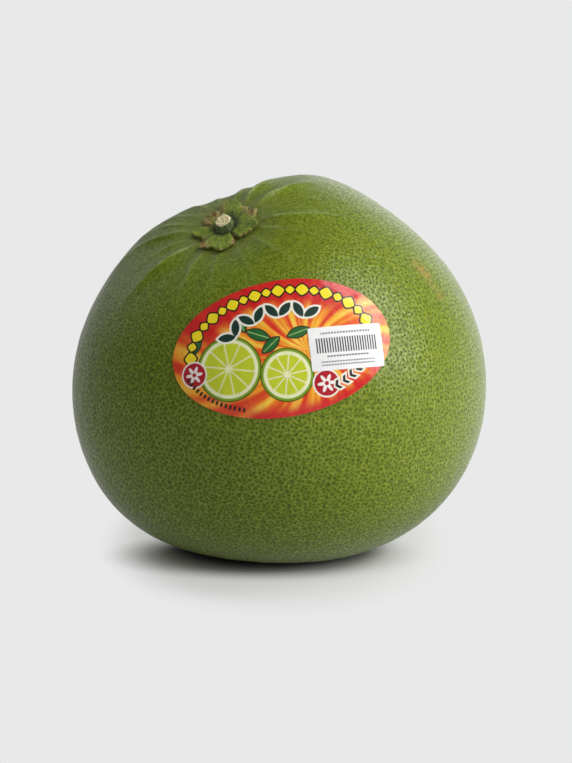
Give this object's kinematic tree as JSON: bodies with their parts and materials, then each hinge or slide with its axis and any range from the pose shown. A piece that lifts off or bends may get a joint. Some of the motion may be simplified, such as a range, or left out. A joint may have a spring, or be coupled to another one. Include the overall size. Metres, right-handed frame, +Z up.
{
  "type": "pomelo",
  "caption": "Whole green pomelo lying on its flat blossom end, with calyx, cut stem, oval label and price sticker; food or display prop.",
  "frame": {"origin": "centre of the fruit's outline on the surface it stands on", "axes": "+Z up, -Y towards the side that carries the label, +X to the right of that side"},
  "size_m": [0.1442, 0.1411, 0.1295],
  "materials": {
    "peel": "waxy green citrus peel with fine oil pits",
    "calyx": "dull olive green plant tissue with dry brown tips",
    "stem": "pale fibrous cut end",
    "label": "glossy printed paper, mostly red and orange",
    "price_sticker": "white satin paper with plain dark bars"
  },
  "bodies": {
    "root": {"fruit": "peel", "calyx": "calyx", "stem": "stem", "label": "label", "price_sticker": "price_sticker"}
  },
  "joints": []
}
